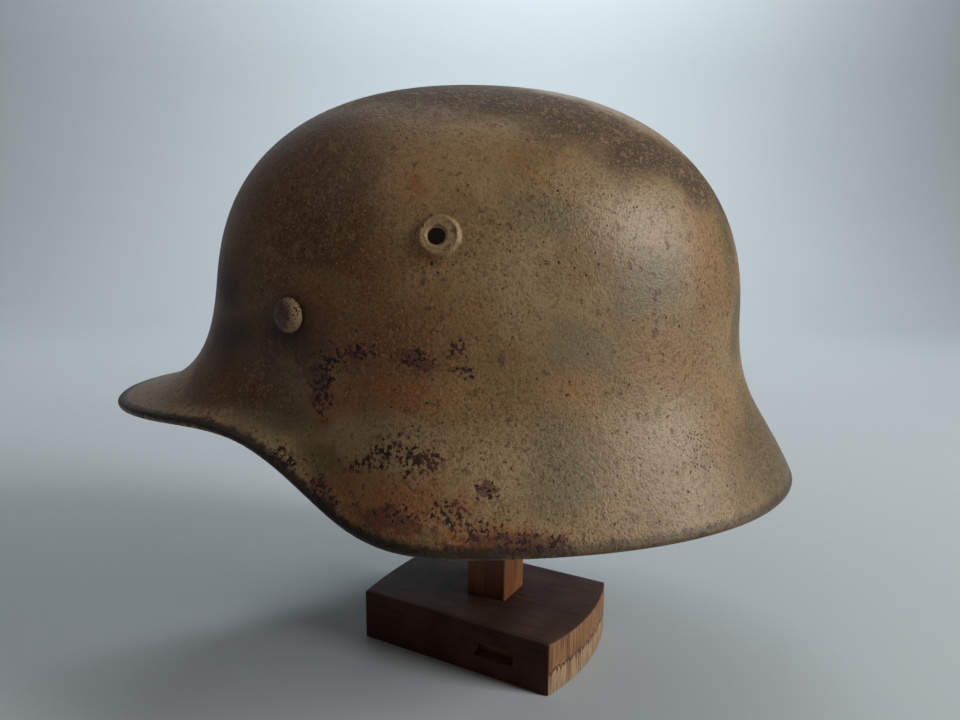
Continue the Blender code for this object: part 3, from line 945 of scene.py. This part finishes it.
def smear_and_chip(paint):
    """Smears of rust, then chips down to dark metal with a rusty border. Returns the chips."""
    smear = paint.plus(paint.spots(paint.ragged, RUST_SMEARS), paint.off_centre(paint.stain, 1.3))
    smear = paint.plus(smear, paint.off_centre(paint.mottle, 1.8))
    paint.dust(srgb(70, 40, 32), smear, start=0.2, full=0.4, amount=0.7)
    flake = paint.cloud(paint.place, size=1.5, detail=3, roughness=0.62)
    reach = paint.step(paint.spots(paint.ragged, CHIPPED_SPOTS), 0.0, 0.75)
    reach = paint.times(reach, paint.scaled(paint.step(paint.stain, 0.38, 0.6), 0.6, 1.0))
    flaking = paint.plus(flake, paint.times(reach, 0.215))
    paint.dust(srgb(112, 66, 36), flaking, start=0.56, full=0.68, amount=0.4)
    chips = paint.step(flaking, 0.675, 0.69)
    bare = paint.over(srgb(31, 21, 17), srgb(70, 42, 32), paint.step(paint.stain, 0.5, 0.58))
    paint.lay(bare, chips)
    return chips


def pit(paint):
    """Small dark pits, scattered everywhere and gathered on a few spots. Returns the pits."""
    gathered = paint.pinholes(paint.drift, size=1.4, radius=0.45, share=0.9)
    gathered = paint.times(gathered, paint.step(paint.spots(paint.place, PITTED_SPOTS), 0.1, 0.3))
    pits = paint.all_of([paint.pinholes(paint.drift, size=2.8, radius=0.45, share=0.2), gathered])
    paint.lay(srgb(38, 25, 18), pits)
    return pits


def grime_and_painted_shade(paint):
    """Darkens round the rivets, with a painted shadow below the front two, and darkens the rolled rim."""
    rivet_grime_and_shadow = paint.step(paint.spots(paint.place, RIVET_GRIME_AND_SHADOWS), 0.0, 0.7)
    paint.lay(srgb(34, 23, 20), paint.times(rivet_grime_and_shadow, 0.8))
    # Along the rolled rim, one dark band of wear and painted shade, darkest at the front where the roll is
    # turned away from the light
    from_rim = paint.minus(paint.attribute("from_rim"), paint.off_centre(paint.mottle, 5.0))
    reaches, solid = 3.2, 0.9
    rear, front = 30, -50
    towards_front = paint.step(paint.along(paint.place, axis=1), rear, front)
    rim = paint.times(paint.step(from_rim, reaches, solid), paint.scaled(towards_front, 0.55, 0.95))
    paint.lay(srgb(17, 11, 7), rim)


def camouflage_paint():
    """Old matt paint in sand, tan, olive and dark brown, speckled, pitted and chipped to rust, with painted
    shade and highlights.
    """
    paint = ShellPaint("camouflage_paint", specular=0.34)
    crown = spray_camouflage(paint)
    stain_and_fleck(paint)
    # Umber paint and painted shade low on the front
    umber_and_shade = paint.spray(srgb(34, 16, 8), UMBER_AND_SHADE_PATCHES, start=0.0, full=1.0, amount=0.94)
    scuff_crown(paint, crown)
    chips = smear_and_chip(paint)
    pits = pit(paint)
    grime_and_painted_shade(paint)
    matt = paint.all_of([chips, paint.times(crown, 0.8), paint.times(umber_and_shade, 0.4)])
    roughness = paint.plus(paint.scaled(paint.grain, 0.28, 0.54), paint.times(matt, 0.35))
    lost = paint.plus(paint.times(chips, 0.4), pits)
    height = paint.minus(paint.plus(paint.grain, paint.times(paint.mottle, 1.2)), lost)
    return paint.finish(paint.colour, roughness, height, depth=0.2)


def rusted_inside():
    """The unlined inside: thin old paint gone brown, with rust coming through."""
    inside = Finish("rusted_inside")
    broad = inside.cloud(inside.place, size=26, detail=5, roughness=0.62)
    grain = inside.cloud(inside.place, size=1.1, detail=4, roughness=0.65)
    colour = inside.over(srgb(66, 53, 39), srgb(74, 44, 27), inside.step(broad, 0.42, 0.62))
    colour = inside.over(colour, srgb(34, 23, 18), inside.step(grain, 0.5, 0.68))
    return inside.finish(colour, inside.scaled(grain, 0.6, 0.8), grain, depth=0.15)


def rivet_paint():
    """Brown paint with a painted highlight on one shoulder of the head, and pitted."""
    rivet = Finish("rivet_paint")
    grain = rivet.cloud(rivet.place, size=0.7, detail=3, roughness=0.6)
    broad = rivet.cloud(rivet.place, size=3, detail=3)
    pits = rivet.pinholes(rivet.place, size=1.2, radius=0.42, share=0.55)
    from_axis = rivet.attribute("from_axis")
    lit_shoulder = rivet.step(rivet.plus(from_axis, rivet.off_centre(broad, 4)), 3.4, 6.2)
    colour = rivet.over(srgb(84, 60, 38), srgb(62, 42, 27), rivet.step(broad, 0.4, 0.62))
    # A painted highlight on the shoulder that faces the light
    colour = rivet.over(colour, srgb(150, 122, 88), rivet.times(lit_shoulder, 0.8))
    colour = rivet.over(colour, srgb(58, 42, 28), rivet.step(grain, 0.48, 0.34))
    colour = rivet.over(colour, srgb(36, 25, 18), pits)
    height = rivet.minus(grain, pits)
    return rivet.finish(colour, rivet.scaled(grain, 0.3, 0.55), height, depth=0.3)


# How far a pattern is drawn out along the grain, and how high the raw end is torn, in millimetres
GRAIN_SQUEEZE = 0.06
TORN_BELOW = 10


def along_the_grain(wood, axis):
    """Places turned back to the stand's own axes, and squeezed so that noise runs along the grain."""
    turned_back = {"Vector": wood.place, "Rotation": (0, 0, -BASE_TURN)}
    plain = wood.add("ShaderNodeMapping", turned_back).outputs[0]
    squeeze = [1.0, 1.0, 1.0]
    squeeze[axis] = GRAIN_SQUEEZE
    return plain, wood.stretched(plain, squeeze)


def stained_wood():
    """Dark stain, brown down the sides, and on top rubbed, dusty and painted lighter and greyer for the light
    and sheen on it.
    """
    wood = Finish("stained_wood", specular=0.1)
    plain, grained = along_the_grain(wood, axis=0)
    fibre = wood.cloud(grained, size=1.3, detail=4, roughness=0.6)
    broad = wood.step(wood.cloud(plain, size=16, detail=3), 0.35, 0.65)
    top_height = BASE_THICKNESS / MM
    top = wood.step(wood.along(plain, axis=2), top_height - 0.8, top_height - 0.2)
    sides = wood.over(srgb(60, 36, 28), srgb(73, 46, 37), broad)
    # The top is painted lighter and greyer than the sides for the light and sheen on it, as well as rubbed
    # and dusty
    rubbed_and_lit_top = wood.over(srgb(70, 52, 46), srgb(84, 63, 56), broad)
    colour = wood.over(sides, rubbed_and_lit_top, top)
    colour = wood.over(colour, srgb(28, 19, 16), wood.times(wood.step(fibre, 0.5, 0.7), 0.45))
    return wood.finish(colour, wood.scaled(fibre, 0.5, 0.64), fibre, depth=0.04)


def raw_end_grain():
    """The sawn end: pale raw wood, torn and ragged along its lower half."""
    wood = Finish("raw_end_grain")
    plain, grained = along_the_grain(wood, axis=2)
    fibre = wood.cloud(grained, size=1.1, detail=4, roughness=0.65)
    splinter = wood.cloud(grained, size=2.2, detail=3, roughness=0.7)
    edge = wood.plus(wood.along(plain, axis=2), wood.off_centre(splinter, 14))
    torn = wood.step(edge, TORN_BELOW + 0.4, TORN_BELOW - 0.4)
    lower_side = wood.step(edge, TORN_BELOW - 1.2, TORN_BELOW - 0.2)
    upper_side = wood.step(edge, TORN_BELOW + 1.2, TORN_BELOW + 0.2)
    shadow_line = wood.times(lower_side, upper_side)
    sawn = wood.over(srgb(138, 100, 62), srgb(98, 64, 36), wood.step(fibre, 0.42, 0.62))
    splintered = wood.over(srgb(160, 132, 100), srgb(110, 82, 56), wood.step(fibre, 0.46, 0.6))
    colour = wood.over(sawn, splintered, torn)
    colour = wood.over(colour, srgb(58, 36, 22), wood.times(shadow_line, 0.7))
    return wood.finish(colour, wood.scaled(fibre, 0.7, 0.85), wood.minus(fibre, torn), depth=0.7)


def lit_mortise_wood():
    """The wood inside the mortise, painted light to stand in for the light that reaches into it."""
    wood = Finish("lit_mortise_wood", specular=0.1)
    grained = along_the_grain(wood, axis=0)[1]
    fibre = wood.cloud(grained, size=1.3, detail=4, roughness=0.6)
    colour = wood.over(srgb(118, 88, 74), srgb(86, 62, 52), wood.step(fibre, 0.4, 0.66))
    return wood.finish(colour, wood.scaled(fibre, 0.7, 0.85), fibre, depth=0.1)


def oak():
    """The post's oak, with painted shade on the face that is turned to the front."""
    wood = Finish("oak")
    plain, grained = along_the_grain(wood, axis=2)
    fibre = wood.cloud(grained, size=0.9, detail=4, roughness=0.6)
    broad = wood.cloud(grained, size=4, detail=2)
    colour = wood.over(srgb(164, 106, 57), srgb(128, 77, 39), wood.step(broad, 0.4, 0.6))
    colour = wood.over(colour, srgb(84, 44, 20), wood.step(fibre, 0.52, 0.72))
    front_face = -POST_SIDE / 2 / MM
    shaded_face = wood.step(wood.along(plain, axis=1), front_face + 0.5, front_face + 0.1)
    # Painted shade on the front face, which is turned away from the light
    colour = wood.over(colour, srgb(84, 42, 22), wood.times(shaded_face, 0.6))
    return wood.finish(colour, wood.scaled(fibre, 0.45, 0.65), fibre, depth=0.15)


def pale_paper():
    paper = Finish("pale_paper")
    soft = paper.cloud(paper.place, size=400)
    colour = paper.over(srgb(172, 181, 187), srgb(178, 187, 192), soft)
    return paper.finish(colour, paper.scaled(soft, 0.85, 0.9), soft, depth=0.05)


# The sweep under and behind the stand
SWEEP_FRONT = 2.2
SWEEP_BACK = -1.2
SWEEP_HALF_WIDTH = 3.0
SWEEP_BEND_RADIUS = 0.7
SWEEP_BEND_STEPS = 24
SWEEP_WALL_HEIGHT = 2.2


def only(kind, geometry):
    return [item for item in geometry if isinstance(item, kind)]


def pale_sweep(paper):
    """A pale floor that curves up into a backdrop."""
    shape = bmesh.new()
    ends = [shape.verts.new((SWEEP_FRONT, side, 0)) for side in (-SWEEP_HALF_WIDTH, SWEEP_HALF_WIDTH)]
    floor = bmesh.ops.extrude_edge_only(shape, edges=[shape.edges.new(ends)])["geom"]
    far = only(bmesh.types.BMVert, floor)
    bmesh.ops.translate(shape, vec=(SWEEP_BACK - SWEEP_FRONT, 0, 0), verts=far)
    far_edge = [edge for edge in only(bmesh.types.BMEdge, floor) if all(vert in far for vert in edge.verts)]
    bend = bmesh.ops.spin(
        shape,
        geom=far + far_edge,
        axis=(0, 1, 0),
        cent=(SWEEP_BACK, 0, SWEEP_BEND_RADIUS),
        angle=math.pi / 2,
        steps=SWEEP_BEND_STEPS,
        use_merge=False,
    )
    top = only(bmesh.types.BMEdge, bend["geom_last"])
    wall = bmesh.ops.extrude_edge_only(shape, edges=top)["geom"]
    bmesh.ops.translate(shape, vec=(0, 0, SWEEP_WALL_HEIGHT), verts=only(bmesh.types.BMVert, wall))
    bmesh.ops.recalc_face_normals(shape, faces=shape.faces)
    for face in shape.faces:
        face.smooth = True
    return add_piece("pale_sweep", mesh_of("pale_sweep", shape), paper)


# The room's own faint light, and three soft lamps: a window to the right of the camera, one behind
# the helmet that lights the backdrop, and a weak one high on the left
ROOM_TINT = (0.44, 0.37, 0.31, 1)
ROOM_STRENGTH = 0.27
HELMET_MIDDLE = (0, 0, 0.15)
SoftLight = namedtuple("SoftLight", "name place target width height watts tint")
SOFT_LIGHTS = (
    SoftLight(
        name="window",
        place=(0.50, 1.27, 0.76),
        target=HELMET_MIDDLE,
        width=0.45,
        height=0.75,
        watts=21,
        tint=(1.0, 0.98, 0.94),
    ),
    SoftLight(
        name="backdrop",
        place=(-0.95, 0.2, 1.6),
        target=(-2.0, -0.2, 0.6),
        width=1.4,
        height=0.8,
        watts=31,
        tint=(0.93, 0.975, 1.0),
    ),
    SoftLight(
        name="fill",
        place=(0.61, -0.79, 1.58),
        target=HELMET_MIDDLE,
        width=0.9,
        height=0.9,
        watts=2.3,
        tint=(1.0, 0.97, 0.95),
    ),
)


def soft_light(row):
    data = bpy.data.lights.new(row.name, "AREA")
    data.shape = "RECTANGLE"
    data.size, data.size_y = row.width, row.height
    data.energy = row.watts
    data.color = row.tint
    light = bpy.data.objects.new(row.name, data)
    light.location = row.place
    light.rotation_euler = (Vector(row.target) - Vector(row.place)).to_track_quat("-Z", "Y").to_euler()
    bpy.context.scene.collection.objects.link(light)


def light_studio():
    world = bpy.data.worlds.new("studio")
    bpy.context.scene.world = world
    world.use_nodes = True
    background = world.node_tree.nodes["Background"]
    background.inputs["Color"].default_value = ROOM_TINT
    background.inputs["Strength"].default_value = ROOM_STRENGTH
    for row in SOFT_LIGHTS:
        soft_light(row)


# The camera as fitted to the photograph
CAMERA_PLACE = Vector((0.3152, -0.0163, 0.1775))
CAMERA_YAW = math.radians(1.55)
CAMERA_PITCH = math.radians(8.88)
CAMERA_ROLL = math.radians(0.36)
CAMERA_LENS = 27.375
CAMERA_SENSOR_WIDTH = 36
CAMERA_SEES_FROM = 0.01


def set_camera():
    forward = Vector(
        (
            -math.cos(CAMERA_YAW) * math.cos(CAMERA_PITCH),
            math.sin(CAMERA_YAW) * math.cos(CAMERA_PITCH),
            -math.sin(CAMERA_PITCH),
        )
    )
    level = forward.cross(Vector((0, 0, 1))).normalized()
    up = level.cross(forward)
    right = level * math.cos(CAMERA_ROLL) + up * math.sin(CAMERA_ROLL)
    above = up * math.cos(CAMERA_ROLL) - level * math.sin(CAMERA_ROLL)
    data = bpy.data.cameras.new("camera")
    data.sensor_width = CAMERA_SENSOR_WIDTH
    data.lens = CAMERA_LENS
    data.clip_start = CAMERA_SEES_FROM
    camera = bpy.data.objects.new("camera", data)
    turn = Matrix((right, above, -forward)).transposed().to_4x4()
    camera.matrix_world = Matrix.Translation(CAMERA_PLACE) @ turn
    bpy.context.scene.collection.objects.link(camera)
    bpy.context.scene.camera = camera


def put_on_stand(piece, node):
    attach(piece, "root")
    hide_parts(node)


bpy.context.scene.view_settings.view_transform = "Standard"
put_on_stand(press_shell(camouflage_paint(), rusted_inside()), "helmet_shell")
rivet_finish = rivet_paint()
for rivet_name, rivet_azimuth in RIVETS.items():
    put_on_stand(domed_rivet(rivet_name, rivet_azimuth, rivet_finish), rivet_name)
put_on_stand(shape_block(stained_wood(), raw_end_grain(), lit_mortise_wood()), "stand_base")
put_on_stand(shape_post(oak()), "stand_post")
pale_sweep(pale_paper())
light_studio()
set_camera()
